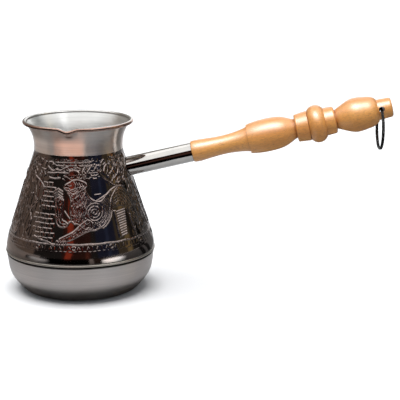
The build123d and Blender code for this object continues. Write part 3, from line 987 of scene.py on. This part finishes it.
def reflector(name, azimuth, low, high, width, strength, colour=(1, 1, 1), distance=1.0, slant=0.0):
    """A card that only reflections see, between two elevations.

    Its azimuth is counted from the camera's side towards the right, and its width is an angle in degrees.
    Slant is the further azimuth of its lower end.
    """
    a = radians(FRONT + azimuth)
    side = Vector((-sin(a), cos(a), 0)) * radians(width) / 2 * distance
    ends = []
    for elevation, turn in ((low, slant), (high, 0)):
        e, b = radians(elevation), a + radians(turn)
        ends.append(CENTRE + Vector((cos(b) * cos(e), sin(b) * cos(e), sin(e))) * distance)
    corners = [ends[0] - side, ends[0] + side, ends[1] + side, ends[1] - side]
    made = studio_mesh(name, corners, glow_material(name, colour, strength))
    only_reflected(made)
    return made


def floor_glow(name, azimuth, width, near, far, level, strength, colour=(1, 1, 1), soft=False):
    """A patch of the floor as reflections see it, between two distances from the pot's axis.

    Patches that overlap have different levels; the highest one is seen.
    """
    angles = np.radians(FRONT + azimuth + np.linspace(-width / 2, width / 2, 37))
    points = [(r * cos(a), r * sin(a), LEVEL_STEP * level) for r in (near, far) for a in angles]
    count = len(angles)
    faces = [(i, count + i, count + i + 1, i + 1) for i in range(count - 1)]
    made = studio_mesh(name, points, glow_material(name, colour, strength, soft), faces)
    only_reflected(made)
    return made


def only_lights(lamp, *targets):
    """Light linking: the lamp reaches only these objects."""
    reached = bpy.data.collections.new(lamp.name + "_reaches")
    for target in targets:
        reached.objects.link(target)
    lamp.light_linking.receiver_collection = reached


reflector("softbox", 0, 31, 100, 60, 1.25)
reflector("ceiling_left", -75, 38, 86, 90, 1.55)
ceiling_right = reflector("ceiling_right", 75, 38, 86, 90, 1.45)
only_lights(ceiling_right, *relief_pieces, band_piece, rim_piece, lining_piece, *frame["nodes"].values())
reflector("right_back", 169, -6, 60, 30, 1.2)
reflector("right_side", 127, -6, 38, 36, 0.2, (0.95, 1.0, 0.98))
only_lights(reflector("slit", 112, -10, 44, 2, 1.1, distance=0.94), neck_piece)
for azimuth, width in ((107.5, 5), (117.5, 8)):
    reflector(f"beside_slit_{azimuth}", azimuth, -10, 16, width, 0.01, distance=0.95)
reflector("left_back", -150, -6, 50, 50, 0.3, (1.0, 0.94, 0.88))
reflector("left_wall", -95, -8, 34, 50, 0.26, (1.0, 0.8, 0.66))
reflector("tall_window", 47, 34, 80, 10, 2.4, distance=0.95)
reflector("photographer", -2, -3, 30, 44, 0.06, (1.0, 0.4, 0.3), distance=0.97)
reflector("navy", 47, -3, 29, 34, 0.075, (0.4, 0.5, 1.0), distance=0.96)
reflector("blue_line", 49, -3, 29, 5, 0.14, (0.35, 0.5, 1.0), distance=0.955)
reflector("olive", 79, -3, 34, 28, 0.12, (1.0, 0.85, 0.55), distance=0.97)
reflector("gold_line", 86, -3, 34, 9, 0.42, (1.0, 0.76, 0.36), distance=0.96)
red_stripe = reflector("red_stripe", -12, -3, 24, 9, 0.62, (1.0, 0.15, 0.07), distance=0.95, slant=-4)
second_stripe = reflector("second_stripe", 14, -3, 14, 6, 0.16, (1.0, 0.3, 0.2), distance=0.95)
for azimuth in (106, 121):
    floor_glow(f"handle_shade_{azimuth}", azimuth, 9, 0.13, 0.9, 6, 0.02)
low_window = floor_glow("low_window", 53, 38, 0.17, 0.36, 5, 6.0, (0.92, 0.97, 1.0), soft=True)
left_window = floor_glow("left_window", -60, 40, 0.2, 0.34, 5, 1.2, (0.92, 0.97, 1.0), soft=True)
for stripe in (red_stripe, second_stripe):
    only_lights(stripe, *relief_pieces, band_piece)
for patch in (low_window, left_window):
    only_lights(patch, band_piece)
floor_glow("dark_floor", 5, 90, 0.15, 0.9, 1, 0.05, (1.0, 0.6, 0.45))
warm_floor = floor_glow("warm_floor", -60, 166, 0.12, 0.9, 2, 0.45, (1.0, 0.91, 0.86))
only_lights(warm_floor, neck_piece, band_piece, *relief_pieces)
only_lights(floor_glow("peach_floor", -20, 74, 0.15, 0.9, 3, 1.3, (1.0, 0.55, 0.39)), neck_piece)
floor_glow("grey_floor", 98, 100, 0.13, 0.9, 4, 0.18)
# Painted shadow: a dark patch that reflections see on the floor under the cup
floor_glow("under_the_cup", 0, 360, 0.02, 0.045, 7, 0.01)


def floor_paper():
    """Paper that the camera sees bright, and that the pot sees as a greyer table."""
    finish = Finish("floor_paper", Roughness=0.9, Specular_IOR_Level=0.0)
    tone = finish.noise((9, 9, 9), 2.0, 0.5)
    bright = finish.blend(tone, (0.93, 0.93, 0.94), (0.95, 0.95, 0.95))
    greyer = finish.blend(tone, (0.40, 0.40, 0.41), (0.42, 0.42, 0.42))
    camera_ray = finish.node("LightPath").outputs["Is Camera Ray"]
    finish.to_shader("Base Color", finish.blend(camera_ray, greyer, bright))
    return finish.material


floor_corners = [(-1.5, -0.7, 0), (1.7, -0.7, 0), (1.7, 1.5, 0), (-1.5, 1.5, 0)]
floor = studio_mesh("floor", floor_corners, floor_paper())

# The sun draws the pot's soft shadow on the floor and lights nothing else
toward_sun = Vector((-0.1, -0.06, 1))
sun = studio_light("sun", "SUN", 3.4)
sun.data.angle = radians(52)
sun.rotation_euler = toward_sun.to_track_quat("Z", "Y").to_euler()
sun.visible_glossy = False
only_lights(sun, floor)

# The key lights only the wood; gloss, in the same place, strengthens its reflection there
toward_key = Vector((-0.12, -0.42, 1)).normalized()
key = studio_light("key", "AREA", 11.5)
key.data.shape = "RECTANGLE"
key.data.size = 0.75
key.data.size_y = 0.55
key.location = HANDLE_MIDDLE + toward_key
key.rotation_euler = toward_key.to_track_quat("Z", "Y").to_euler()
only_lights(key, frame["nodes"]["wood_handle"])

gloss = in_scene("gloss", key.data.copy())
gloss.data.energy = 15.0
gloss.location = key.location
gloss.rotation_euler = key.rotation_euler
gloss.visible_diffuse = False
only_lights(gloss, frame["nodes"]["wood_handle"])

world = bpy.data.worlds.new("studio")
bpy.context.scene.world = world
world.use_nodes = True
nodes, links = world.node_tree.nodes, world.node_tree.links
nodes.clear()


def background(colour, strength):
    """Even light from all round."""
    made = nodes.new("ShaderNodeBackground")
    made.inputs["Color"].default_value = (*colour, 1)
    made.inputs["Strength"].default_value = strength
    return made.outputs[0]


def choose(ray, otherwise, then):
    """The second shader for this kind of ray, the first for all others."""
    made = nodes.new("ShaderNodeMixShader")
    links.new(ray, made.inputs[0])
    links.new(otherwise, made.inputs[1])
    links.new(then, made.inputs[2])
    return made.outputs[0]


path = nodes.new("ShaderNodeLightPath")
fill = background((0.86, 0.93, 1), 0.3)
reflected = background((1, 0.93, 0.88), 0.035)
backdrop = background((1, 1, 1), 1.2)
room = choose(path.outputs["Is Glossy Ray"], fill, reflected)
room = choose(path.outputs["Is Camera Ray"], room, backdrop)
links.new(room, nodes.new("ShaderNodeOutputWorld").inputs["Surface"])

turned = radians(FRONT)
raised = radians(CAMERA_PITCH)
toward_camera = Vector((cos(turned) * cos(raised), sin(turned) * cos(raised), sin(raised)))
camera = in_scene("camera", bpy.data.cameras.new("camera"))
camera.data.lens = CAMERA_LENS
camera.data.sensor_width = CAMERA_SENSOR
camera.location = Vector(CAMERA_TARGET) + toward_camera * CAMERA_DISTANCE
camera.rotation_euler = toward_camera.to_track_quat("Z", "Y").to_euler()
bpy.context.scene.camera = camera
bpy.context.scene.view_settings.view_transform = "Standard"
